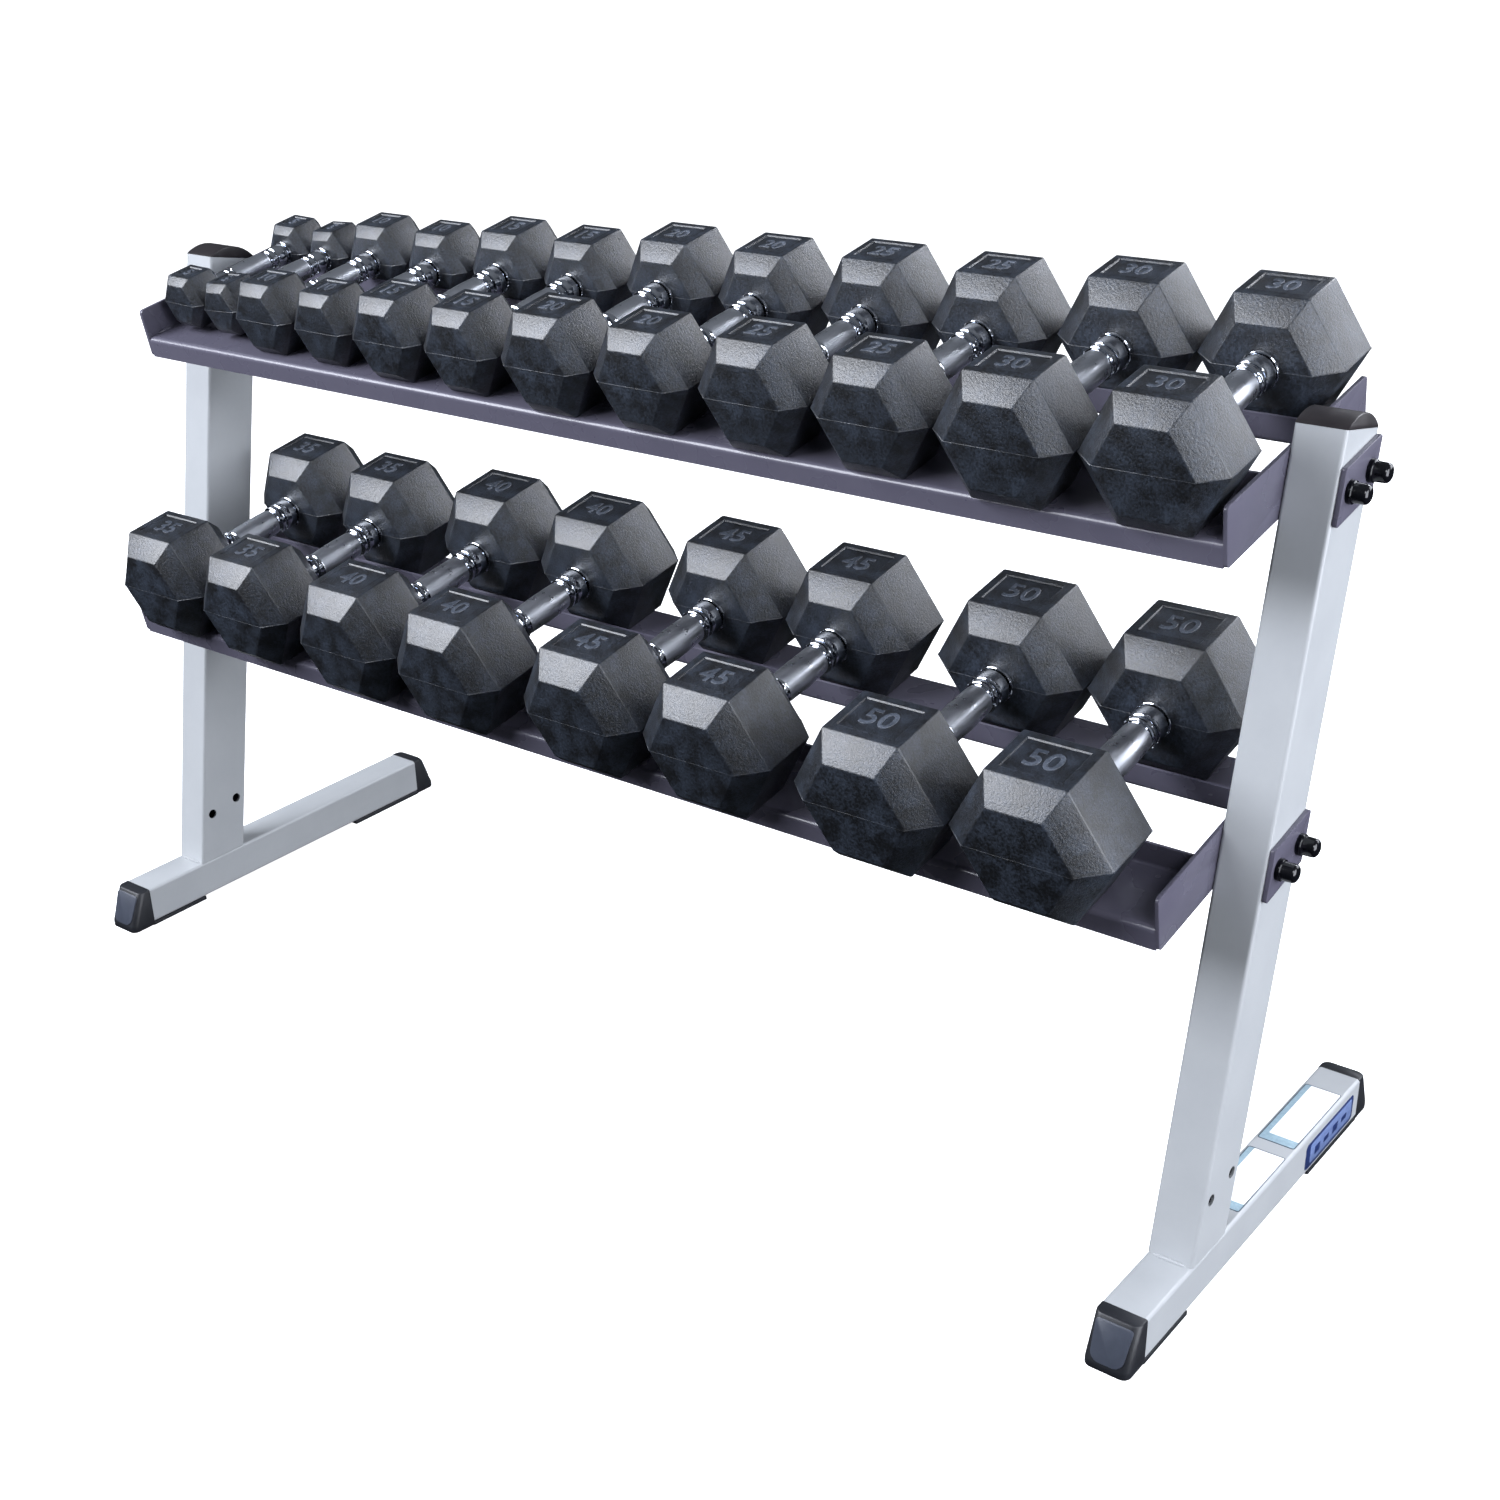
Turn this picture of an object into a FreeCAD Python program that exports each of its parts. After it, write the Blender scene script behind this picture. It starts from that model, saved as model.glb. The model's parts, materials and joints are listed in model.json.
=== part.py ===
import FreeCAD, Part
import math
import os

import Sketcher
from FreeCAD import Placement, Rotation, Vector

# Two-tier dumbbell rack with twenty hex dumbbells, in millimetres.
# X runs along the shelves, the user stands at -Y, +Z is up, and the floor is Z = 0
# under the middle of the feet.

doc = FreeCAD.newDocument("dumbbell_rack")
sheet = doc.addObject("Spreadsheet::Sheet", "Sizes")

frameSizes = [
    ("overallWidth", 1575, "across the outer faces of the two uprights"),
    ("tubeWall", 3, "wall of every tube"),
    ("tubeCorner", 4, "outer corner radius of every tube"),
    ("tubeWidth", 50, "width of uprights and feet along X"),
    ("uprightDepth", 75, "depth of the upright tube, square to its length"),
    ("uprightLength", 830, "front edge of the upright, foot to square-cut top"),
    ("uprightLean", 11.16, "degrees that the uprights lean back"),
    ("uprightFront", 162.6, "front bottom corner of the upright, ahead of the origin"),
    ("footHeight", 50, "height of the foot tube"),
    ("footLength", 512, "foot tube without its end caps"),
    ("soleThickness", 5, "plastic sole under each end of a foot"),
    ("frontSole", 92, "how far the sole of a front cap reaches under the tube"),
    ("rearSole", 130, "how far the sole of a rear cap reaches under the tube"),
    ("capTop", 17, "depth of a foot cap at its top edge"),
    ("capBase", 36, "depth of a foot cap near the floor"),
    ("capBaseHeight", 9, "height of the upright part of a foot cap's front"),
    ("capRound", 9, "plan radius of a foot cap's outer corners"),
    ("plugLength", 28, "how far a cap's plug reaches into its tube"),
    ("plugGap", 0.2, "gap round a plug inside its tube"),
    ("plugRoot", 1, "how far a plug starts inside its own cap"),
    ("topCapRise", 14.5, "height of the arched cap on an upright"),
]
shelfSizes = [
    ("shelfTilt", 10.28, "degrees that the shelves fall towards the user"),
    ("shelfDepth", 290, "front edge to rear edge of a shelf"),
    ("railDepth", 90, "floor of one bent rail, front to back"),
    ("railFloor", 25, "top of a rail's floor above the shelf's lowest edge"),
    ("lipTop", 50, "top of a rail's lip above the shelf's lowest edge"),
    ("railSheet", 3, "sheet thickness of the rails"),
    ("bendRadius", 6, "outer bend radius of the rails"),
    ("endPlateSheet", 4, "thickness of the end plates"),
    ("endPlateHeight", 60, "height of the end plates"),
    ("endPlateCorner", 5, "corner radius of the end plates"),
    ("boltRise", 26, "height of the bolts above the shelf's lowest edge"),
    ("upperSetback", 148.4, "upper shelf's front edge to the middle of its bolts"),
    ("lowerSetback", 154.2, "lower shelf's front edge to the middle of its bolts"),
    ("upperBolts", 784.8, "height of the upper bolts along the upright"),
    ("lowerBolts", 430.5, "height of the lower bolts along the upright"),
    ("spareHoles", 80, "height of the spare holes along the upright"),
    ("boltSpacing", 45, "front bolt to rear bolt, along the shelf"),
    ("boltHole", 5.5, "radius of the shelf bolts' holes"),
    ("spareHole", 6.5, "radius of the spare holes"),
]
fastenerSizes = [
    ("clampSheet", 5, "thickness of the clamp plates"),
    ("clampHeight", 50, "height of the clamp plates along the shelf's normal"),
    ("clampMargin", 1, "clamp plate's edge inside the upright's edge"),
    ("clampCorner", 3, "corner radius of the clamp plates"),
    ("boltShank", 5.3, "radius of the bolts"),
    ("boltHead", 11, "radius of the domed bolt heads"),
    ("boltHeadHeight", 5, "height of the domed bolt heads"),
    ("boltHeadRim", 1.25, "height of the straight rim of a bolt head"),
    ("nutFlange", 11, "radius of a nut's flange"),
    ("nutFlangeHeight", 3, "thickness of a nut's flange"),
    ("nutFlats", 14, "nut, across its flats"),
    ("nutHeight", 9, "height of a nut above its flange"),
    ("nutCapRadius", 9.6, "outer radius of the cap over a nut"),
    ("nutCapHeight", 17, "height of the cap over a nut"),
    ("nutCapWall", 5.5, "thickness of the cap's closed end"),
    ("nutCapChamfer", 3, "chamfer round the cap's closed end"),
    ("labelWidth", 43, "width of the foot labels"),
    ("labelSheet", 0.3, "thickness of the foot labels"),
    ("longLabel", 128, "length of the rear label on the foot"),
    ("shortLabel", 116, "length of the front label on the foot"),
    ("sideLabelHeight", 34, "height of the label on the foot's outer side"),
    ("labelMargin", 42, "rear end of the foot tube to the rear label"),
    ("labelSpacing", 20, "gap between the two labels on top of the foot"),
    ("sideLabelShift", 28, "side label's middle behind the rear label's middle"),
]
dumbbellSizes = [
    ("restGap", 0.3, "gap between a head and the rail it rests on"),
    ("boreGap", 0.1, "gap between a handle and its bore, and between a nut and its bolt"),
    ("boreFloor", 1, "gap between a handle's end and the bottom of its bore"),
    ("ringWidth", 4, "width of the ring against each head"),
    ("collarWidth", 12, "width of the collar beside the ring"),
    ("collarTaper", 5, "length over which the collar falls to the grip"),
]
# weight in pounds: head across flats, head length, gap between heads, chamfer,
# grip radius, collar radius
dumbbellTable = {
    5: (64.5, 55, 127, 9, 13, 15),
    10: (87.5, 69, 128, 12, 14, 17),
    15: (98.5, 82, 125, 14.5, 14.5, 18),
    20: (111, 92.5, 125, 17.5, 15, 18.5),
    25: (118, 94, 124, 18.5, 15.5, 19),
    30: (128, 97.5, 132.5, 20.5, 16, 19.5),
    35: (136, 108, 136, 22, 16.5, 20),
    40: (141.5, 114.5, 140, 23.5, 17, 20.5),
    45: (144.5, 117, 140.5, 24.5, 17, 20.5),
    50: (151, 121.5, 143.5, 24.5, 17, 20.5),
}
dumbbellColumns = ("flats", "headLength", "gripGap", "chamfer", "gripRadius", "collarRadius")
# tier: pounds, place along X, rear head's inner face behind the shelf's front edge,
# degrees that it is turned about its own handle
dumbbellPlaces = {
    "upper": [
        (5, -684.5, 206.5, -2),
        (5, -608, 205.5, 3),
        (10, -517.5, 203.6, 0),
        (10, -412.5, 203.6, 0),
        (15, -297, 203.5, 0),
        (15, -181, 203.8, 0),
        (20, -46.5, 203.5, 0),
        (20, 85.5, 204, 0),
        (25, 229.5, 203.5, 0),
        (25, 368.5, 203.6, 0),
        (30, 520, 204.3, 0),
        (30, 669, 207.5, 0),
    ],
    "lower": [
        (35, -646, 210, 0),
        (35, -486.5, 207, 0),
        (40, -296, 208, 0),
        (40, -130, 207, 0),
        (45, 70.5, 208.5, 0),
        (45, 241, 207.5, 0),
        (50, 446.5, 207, 0),
        (50, 623, 211.5, 0),
    ],
}


def fillSheet():
    rows = frameSizes + shelfSizes + fastenerSizes + dumbbellSizes
    for weight, values in dumbbellTable.items():
        for column, value in zip(dumbbellColumns, values):
            rows.append(("%s_lb%02d" % (column, weight), value, "%d lb dumbbell" % weight))
    for line, (alias, value, meaning) in enumerate(rows, 1):
        sheet.set("A%d" % line, meaning)
        sheet.set("B%d" % line, str(value))
        sheet.setAlias("B%d" % line, alias)
    doc.recompute()


def number(text):
    """Value of an expression in the sheet's names."""
    return float(sheet.evalExpression(text))


def size(alias):
    return float(sheet.get(alias))


# ---- sketches and features -------------------------------------------------

def newBody(name):
    body = doc.addObject("PartDesign::Body", name)
    body.Label = name
    return body


def newSketch(body, name, role):
    sketch = body.newObject("Sketcher::SketchObject", name)
    plane = [item for item in body.Origin.OriginFeatures if item.Role == role][0]
    sketch.AttachmentSupport = [(plane, "")]
    sketch.MapMode = "FlatFace"
    return sketch


def hold(sketch, kind, *where):
    """Adds a driving dimension whose value follows an expression."""
    *places, text = where
    index = sketch.addConstraint(Sketcher.Constraint(kind, *places, number(text)))
    sketch.setExpression("Constraints[%d]" % index, text)


def drawOutline(sketch, corners):
    """Closed outline whose corners are (x, y) expressions."""
    points = [Vector(number(x), number(y), 0) for x, y in corners]
    count = len(points)
    for i in range(count):
        sketch.addGeometry(Part.LineSegment(points[i], points[(i + 1) % count]), False)
    for i in range(count):
        sketch.addConstraint(Sketcher.Constraint("Coincident", i, 2, (i + 1) % count, 1))
    for i, (x, y) in enumerate(corners):
        hold(sketch, "DistanceX", -1, 1, i, 1, x)
        hold(sketch, "DistanceY", -1, 1, i, 1, y)


def drawCircle(sketch, x, y, radius):
    centre = Vector(number(x), number(y), 0)
    index = sketch.addGeometry(Part.Circle(centre, Vector(0, 0, 1), number(radius)), False)
    hold(sketch, "DistanceX", -1, 1, index, 3, x)
    hold(sketch, "DistanceY", -1, 1, index, 3, y)
    hold(sketch, "Radius", index, radius)


def addPad(body, sketch, name, length, side="Symmetric"):
    pad = body.newObject("PartDesign::Pad", name)
    pad.Profile = sketch
    pad.SideType = side
    pad.setExpression("Length", length)
    doc.recompute()
    return pad


def addPocket(body, sketch, name, length):
    """Symmetric cut, which has to take something away."""
    before = body.Shape.Volume
    pocket = body.newObject("PartDesign::Pocket", name)
    pocket.Profile = sketch
    pocket.SideType = "Symmetric"
    pocket.setExpression("Length", length)
    doc.recompute()
    if body.Shape.Volume >= before:
        raise RuntimeError("%s in %s cuts nothing" % (name, body.Name))
    return pocket


def addFillet(body, base, name, edges, radius):
    fillet = body.newObject("PartDesign::Fillet", name)
    fillet.Base = (base, edges)
    fillet.setExpression("Radius", radius)
    doc.recompute()
    return fillet


def addRevolution(body, sketch, name):
    turned = body.newObject("PartDesign::Revolution", name)
    turned.Profile = sketch
    turned.ReferenceAxis = (sketch, ["V_Axis"])
    turned.Angle = 360
    doc.recompute()
    return turned


samePlace = 0.01
offParallel = 1e-4


def edgesAlong(feature, axis, places=None):
    """Straight edges parallel to axis, all of them or those at the (y, z) places."""
    found = []
    for i, edge in enumerate(feature.Shape.Edges, 1):
        if edge.Curve.TypeId != "Part::GeomLine":
            continue
        run = edge.Vertexes[-1].Point - edge.Vertexes[0].Point
        if run.cross(axis).Length > offParallel * run.Length:
            continue
        middle = edge.CenterOfMass
        if places is None or any(math.hypot(middle.y - y, middle.z - z) < samePlace for y, z in places):
            found.append("Edge%d" % i)
    return found


def facesAcross(feature, axis):
    """Flat faces square to axis."""
    found = []
    for i, face in enumerate(feature.Shape.Faces, 1):
        if face.Surface.TypeId == "Part::GeomPlane" and abs(face.normalAt(0, 0).dot(axis)) > 1 - offParallel:
            found.append("Face%d" % i)
    return found


def gather(name, source, placements):
    """One node of equal pieces: a link to source at each placement."""
    links = []
    for i, placement in enumerate(placements, 1):
        link = doc.addObject("App::Link", "%s_%d" % (name, i))
        link.LinkedObject = source
        link.Placement = placement
        links.append(link)
    return compoundOf(name, links)


def compoundOf(name, links):
    group = doc.addObject("Part::Compound", name)
    group.Links = links
    group.Label = name
    return group


# ---- local frames ----------------------------------------------------------

xAxis = Vector(1, 0, 0)
yAxis = Vector(0, 1, 0)
zAxis = Vector(0, 0, 1)
halfTurn = Rotation(zAxis, 180)


def moved(x, y, z, rotation=Rotation()):
    return Placement(Vector(x, y, z), rotation)


def uprightFrame(x):
    """Local Y runs across the upright's depth, local Z up its length."""
    footTop = size("soleThickness") + size("footHeight")
    lean = Rotation(xAxis, -size("uprightLean"))
    return moved(x, -size("uprightFront"), footTop, lean)


def boltFrame(tier, x):
    """At the middle of a tier's bolts, local Y along the shelf, local Z its normal."""
    place = moved(0, size("uprightDepth") / 2, size(tier + "Bolts"))
    turn = Rotation(xAxis, size("shelfTilt") + size("uprightLean"))
    return uprightFrame(x) * place * moved(0, 0, 0, turn)


def shelfFrame(tier, x=0):
    """At the front bottom edge of a shelf."""
    return boltFrame(tier, x) * moved(0, -size(tier + "Setback"), -size("boltRise"))


# ---- frame -----------------------------------------------------------------

def makeUpright(name, side):
    body = newBody(name)
    sketch = newSketch(body, name + "_side", "YZ_Plane")
    drawOutline(sketch, [
        ("0", "0"),
        ("Sizes.uprightDepth", "Sizes.uprightDepth * tan(Sizes.uprightLean)"),
        ("Sizes.uprightDepth", "Sizes.uprightLength"),
        ("0", "Sizes.uprightLength"),
    ])
    tube = addPad(body, sketch, name + "_tube", "Sizes.tubeWidth")
    addFillet(body, tube, name + "_corners", edgesAlong(tube, zAxis), "Sizes.tubeCorner")
    hollow = newSketch(body, name + "_hollow", "YZ_Plane")
    drawOutline(hollow, [
        ("Sizes.tubeWall", "-Sizes.tubeWidth"),
        ("Sizes.uprightDepth - Sizes.tubeWall", "-Sizes.tubeWidth"),
        ("Sizes.uprightDepth - Sizes.tubeWall", "Sizes.uprightLength + Sizes.tubeWidth"),
        ("Sizes.tubeWall", "Sizes.uprightLength + Sizes.tubeWidth"),
    ])
    addPocket(body, hollow, name + "_bore", "Sizes.tubeWidth - 2 * Sizes.tubeWall")
    holes = newSketch(body, name + "_holes", "YZ_Plane")
    angle = "(Sizes.shelfTilt + Sizes.uprightLean)"
    rows = (("upperBolts", "boltHole"), ("lowerBolts", "boltHole"), ("spareHoles", "spareHole"))
    for height, radius in rows:
        for sign in ("-", "+"):
            across = "Sizes.uprightDepth / 2 %s Sizes.boltSpacing / 2 * cos%s" % (sign, angle)
            along = "Sizes.%s %s Sizes.boltSpacing / 2 * sin%s" % (height, sign, angle)
            drawCircle(holes, across, along, "Sizes." + radius)
    addPocket(body, holes, name + "_drilled", "Sizes.tubeWidth * 2")
    body.Placement = uprightFrame(side * uprightX())
    return body


def uprightX():
    return (size("overallWidth") - size("tubeWidth")) / 2


def makeFoot(name, side):
    body = newBody(name)
    sketch = newSketch(body, name + "_section", "XZ_Plane")
    half = "Sizes.tubeWidth / 2"
    drawOutline(sketch, [
        ("-" + half, "0"),
        (half, "0"),
        (half, "Sizes.footHeight"),
        ("-" + half, "Sizes.footHeight"),
    ])
    tube = addPad(body, sketch, name + "_tube", "Sizes.footLength")
    addFillet(body, tube, name + "_corners", edgesAlong(tube, yAxis), "Sizes.tubeCorner")
    inner = "(Sizes.tubeWidth / 2 - Sizes.tubeWall)"
    roof = "Sizes.footHeight - Sizes.tubeWall"
    hollow = newSketch(body, name + "_hollow", "XZ_Plane")
    drawOutline(hollow, [
        ("-" + inner, "Sizes.tubeWall"),
        (inner, "Sizes.tubeWall"),
        (inner, roof),
        ("-" + inner, roof),
    ])
    addPocket(body, hollow, name + "_bore", "Sizes.footLength + Sizes.tubeWidth")
    body.Placement = moved(side * uprightX(), 0, size("soleThickness"))
    return body


def makeFootCap(name, sole):
    """Cap, plug and sole in one; local +Y points out of the tube's end."""
    body = newBody(name)
    side = newSketch(body, name + "_side", "YZ_Plane")
    drawOutline(side, [
        ("-Sizes." + sole, "0"),
        ("Sizes.capBase", "0"),
        ("Sizes.capBase", "Sizes.capBaseHeight"),
        ("Sizes.capTop", "Sizes.soleThickness + Sizes.footHeight"),
        ("0", "Sizes.soleThickness + Sizes.footHeight"),
        ("0", "Sizes.soleThickness"),
        ("-Sizes." + sole, "Sizes.soleThickness"),
    ])
    shell = addPad(body, side, name + "_shell", "Sizes.tubeWidth")
    corners = []
    lowest = Vector(0, size("capBase"), size("capBaseHeight"))
    top = Vector(0, size("capTop"), size("soleThickness") + size("footHeight"))
    for run, y, z in ((zAxis, lowest.y, lowest.z / 2), (top - lowest, *((top + lowest) / 2)[1:])):
        corners += edgesAlong(shell, run, [(y, z)])
    addFillet(body, shell, name + "_corners", corners, "Sizes.capRound")
    plug = newSketch(body, name + "_plug_side", "YZ_Plane")
    gap = "Sizes.tubeWall + Sizes.plugGap"
    drawOutline(plug, [
        ("-Sizes.plugLength", "Sizes.soleThickness + " + gap),
        ("Sizes.plugRoot", "Sizes.soleThickness + " + gap),
        ("Sizes.plugRoot", "Sizes.soleThickness + Sizes.footHeight - (%s)" % gap),
        ("-Sizes.plugLength", "Sizes.soleThickness + Sizes.footHeight - (%s)" % gap),
    ])
    addPad(body, plug, name + "_plug", "Sizes.tubeWidth - 2 * (%s)" % gap)
    return body


def makeUprightCap(name):
    """Arched cap with a plug; local frame is the upright's."""
    body = newBody(name)
    side = newSketch(body, name + "_side", "YZ_Plane")
    depth = size("uprightDepth")
    length = size("uprightLength")
    rise = size("topCapRise")
    front = Vector(0, length, 0)
    rear = Vector(depth, length, 0)
    crown = Vector(depth / 2, length + rise, 0)
    side.addGeometry(Part.LineSegment(front, rear), False)
    side.addGeometry(Part.Arc(rear, crown, front), False)
    side.addConstraint(Sketcher.Constraint("Coincident", 0, 2, 1, 1))
    side.addConstraint(Sketcher.Constraint("Coincident", 1, 2, 0, 1))
    hold(side, "DistanceX", -1, 1, 0, 1, "0")
    hold(side, "DistanceY", -1, 1, 0, 1, "Sizes.uprightLength")
    hold(side, "DistanceX", -1, 1, 0, 2, "Sizes.uprightDepth")
    hold(side, "DistanceY", -1, 1, 0, 2, "Sizes.uprightLength")
    arc = "((Sizes.uprightDepth / 2) ^ 2 + Sizes.topCapRise ^ 2) / (2 * Sizes.topCapRise)"
    hold(side, "Radius", 1, arc)
    addPad(body, side, name + "_arch", "Sizes.tubeWidth")
    plug = newSketch(body, name + "_plug_side", "YZ_Plane")
    gap = "(Sizes.tubeWall + Sizes.plugGap)"
    drawOutline(plug, [
        (gap, "Sizes.uprightLength - Sizes.plugLength"),
        ("Sizes.uprightDepth - " + gap, "Sizes.uprightLength - Sizes.plugLength"),
        ("Sizes.uprightDepth - " + gap, "Sizes.uprightLength + Sizes.plugRoot"),
        (gap, "Sizes.uprightLength + Sizes.plugRoot"),
    ])
    addPad(body, plug, name + "_plug", "Sizes.tubeWidth - 2 * " + gap)
    return body


def makeLabel(name, length, height):
    body = newBody(name)
    sketch = newSketch(body, name + "_outline", "XY_Plane")
    drawOutline(sketch, [
        ("-%s / 2" % height, "-Sizes.%s / 2" % length),
        ("%s / 2" % height, "-Sizes.%s / 2" % length),
        ("%s / 2" % height, "Sizes.%s / 2" % length),
        ("-%s / 2" % height, "Sizes.%s / 2" % length),
    ])
    addPad(body, sketch, name + "_sheet", "Sizes.labelSheet", "One side")
    return body


def makeFrame():
    nodes = []
    for name, side in (("left", -1), ("right", 1)):
        nodes.append(makeFoot(name + "_foot", side))
        nodes.append(makeUpright(name + "_upright", side))
    halfFoot = size("footLength") / 2
    for name, sole, turn, y in (
        ("front_foot_caps", "frontSole", halfTurn, -halfFoot),
        ("rear_foot_caps", "rearSole", Rotation(), halfFoot),
    ):
        cap = makeFootCap(name[:-1] + "_shape", sole)
        nodes.append(gather(name, cap, [moved(side * uprightX(), y, 0, turn) for side in (-1, 1)]))
    topCap = makeUprightCap("upright_cap_shape")
    nodes.append(gather("upright_caps", topCap, [uprightFrame(side * uprightX()) for side in (-1, 1)]))
    nodes.append(makeLabels())
    return nodes


def makeLabels():
    """Blank labels on the right foot: two on top behind the upright, one on the side."""
    longSheet = makeLabel("long_label_shape", "longLabel", "Sizes.labelWidth")
    shortSheet = makeLabel("short_label_shape", "shortLabel", "Sizes.labelWidth")
    sideSheet = makeLabel("side_label_shape", "longLabel", "Sizes.sideLabelHeight")
    footTop = size("soleThickness") + size("footHeight")
    rearEdge = size("footLength") / 2 - size("labelMargin")
    longMiddle = rearEdge - size("longLabel") / 2
    shortMiddle = longMiddle - (size("longLabel") + size("shortLabel")) / 2 - size("labelSpacing")
    sideMiddle = longMiddle + size("sideLabelShift")
    outward = Rotation(yAxis, 90)
    links = []
    for i, (source, place) in enumerate((
        (longSheet, moved(uprightX(), longMiddle, footTop)),
        (shortSheet, moved(uprightX(), shortMiddle, footTop)),
        (sideSheet, moved(size("overallWidth") / 2, sideMiddle, footTop / 2, outward)),
    ), 1):
        link = doc.addObject("App::Link", "foot_label_%d" % i)
        link.LinkedObject = source
        link.Placement = place
        links.append(link)
    return compoundOf("foot_labels", links)


# ---- shelves ---------------------------------------------------------------

def railLength():
    return "(Sizes.overallWidth - 2 * Sizes.tubeWidth - 2 * Sizes.endPlateSheet)"


def makeRail(name, tier, place):
    """Bent Z rail: flange down at the outer edge, floor, lip up at the inner edge."""
    body = newBody(name)
    sketch = newSketch(body, name + "_section", "YZ_Plane")
    sheetSize = "Sizes.railSheet"
    underside = "Sizes.railFloor - " + sheetSize
    section = [
        ("0", "0"),
        (sheetSize, "0"),
        (sheetSize, underside),
        ("Sizes.railDepth", underside),
        ("Sizes.railDepth", "Sizes.lipTop"),
        ("Sizes.railDepth - " + sheetSize, "Sizes.lipTop"),
        ("Sizes.railDepth - " + sheetSize, "Sizes.railFloor"),
        ("0", "Sizes.railFloor"),
    ]
    if place == "rear":
        section = [("Sizes.shelfDepth - (%s)" % y, z) for y, z in section]
    drawOutline(sketch, section)
    strip = addPad(body, sketch, name + "_strip", railLength())
    corners = [(number(y), number(z)) for y, z in section]
    outside = edgesAlong(strip, xAxis, [corners[7], corners[3]])
    rounded = addFillet(body, strip, name + "_outer_bends", outside, "Sizes.bendRadius")
    inside = edgesAlong(rounded, xAxis, [corners[2], corners[6]])
    radius = "Sizes.bendRadius - Sizes.railSheet"
    addFillet(body, rounded, name + "_inner_bends", inside, radius)
    body.Placement = shelfFrame(tier)
    return body


def makeEndPlate(name, tier):
    """Flat plate with two bolt holes; local frame is the shelf's."""
    body = newBody(name)
    sketch = newSketch(body, name + "_outline", "YZ_Plane")
    drawOutline(sketch, [
        ("0", "0"),
        ("Sizes.shelfDepth", "0"),
        ("Sizes.shelfDepth", "Sizes.endPlateHeight"),
        ("0", "Sizes.endPlateHeight"),
    ])
    plate = addPad(body, sketch, name + "_sheet", "Sizes.endPlateSheet")
    corners = edgesAlong(plate, xAxis)
    addFillet(body, plate, name + "_corners", corners, "Sizes.endPlateCorner")
    holes = newSketch(body, name + "_holes", "YZ_Plane")
    for sign in ("-", "+"):
        along = "Sizes.%sSetback %s Sizes.boltSpacing / 2" % (tier, sign)
        drawCircle(holes, along, "Sizes.boltRise", "Sizes.boltHole")
    addPocket(body, holes, name + "_drilled", "Sizes.endPlateSheet * 2")
    return body


def makeClampPlate(name):
    """Parallelogram between the upright's edges; local frame is the bolts'."""
    body = newBody(name)
    sketch = newSketch(body, name + "_outline", "YZ_Plane")
    angle = "(Sizes.shelfTilt + Sizes.uprightLean)"
    half = "(Sizes.uprightDepth / 2 - Sizes.clampMargin) / cos" + angle
    rise = "Sizes.clampHeight / 2"
    slant = "%s * tan%s" % (rise, angle)
    drawOutline(sketch, [
        ("-%s - %s" % (half, slant), "-" + rise),
        ("%s - %s" % (half, slant), "-" + rise),
        ("%s + %s" % (half, slant), rise),
        ("-%s + %s" % (half, slant), rise),
    ])
    plate = addPad(body, sketch, name + "_sheet", "Sizes.clampSheet")
    corners = edgesAlong(plate, xAxis)
    addFillet(body, plate, name + "_corners", corners, "Sizes.clampCorner")
    holes = newSketch(body, name + "_holes", "YZ_Plane")
    for sign in ("-", "+"):
        drawCircle(holes, "%sSizes.boltSpacing / 2" % sign, "0", "Sizes.boltHole")
    addPocket(body, holes, name + "_drilled", "Sizes.clampSheet * 2")
    return body


def turnedPiece(name, profile):
    """Solid of revolution about local Y from (radius, y) expressions."""
    body = newBody(name)
    sketch = newSketch(body, name + "_profile", "XY_Plane")
    drawOutline(sketch, profile)
    addRevolution(body, sketch, name + "_turned")
    return body


# The fasteners' local Y runs outwards; y = 0 is the inner face of the end plate,
# and boltReach the outer face of the clamp plate.
boltReach = "(Sizes.endPlateSheet + Sizes.tubeWidth + Sizes.clampSheet)"


def makeBolt():
    end = boltReach + " + Sizes.nutFlangeHeight + Sizes.nutHeight"
    return turnedPiece("shelf_bolt_shape", [
        ("0", "-Sizes.boltHeadHeight"),
        ("Sizes.boltHead / 2", "-Sizes.boltHeadHeight"),
        ("Sizes.boltHead", "-Sizes.boltHeadRim"),
        ("Sizes.boltHead", "0"),
        ("Sizes.boltShank", "0"),
        ("Sizes.boltShank", end),
        ("0", end),
    ])


def makeNut():
    """Flange nut: a hexagon on a round flange, bored for the bolt."""
    body = newBody("flange_nut_shape")
    base = newSketch(body, "flange_nut_base", "XZ_Plane")
    drawCircle(base, "0", "0", "Sizes.nutFlange")
    flange = addPad(body, base, "flange_nut_flange", "Sizes.nutFlangeHeight", "One side")
    flange.Reversed = True
    hexagon = newSketch(body, "flange_nut_flats", "XZ_Plane")
    drawHexagon(hexagon, "Sizes.nutFlats")
    height = "Sizes.nutFlangeHeight + Sizes.nutHeight"
    nut = addPad(body, hexagon, "flange_nut_hexagon", height, "One side")
    nut.Reversed = True
    bore = newSketch(body, "flange_nut_hole", "XZ_Plane")
    drawCircle(bore, "0", "0", "Sizes.boltShank + Sizes.boreGap")
    addPocket(body, bore, "flange_nut_bore", "Sizes.nutFlats * 4")
    return body


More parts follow.
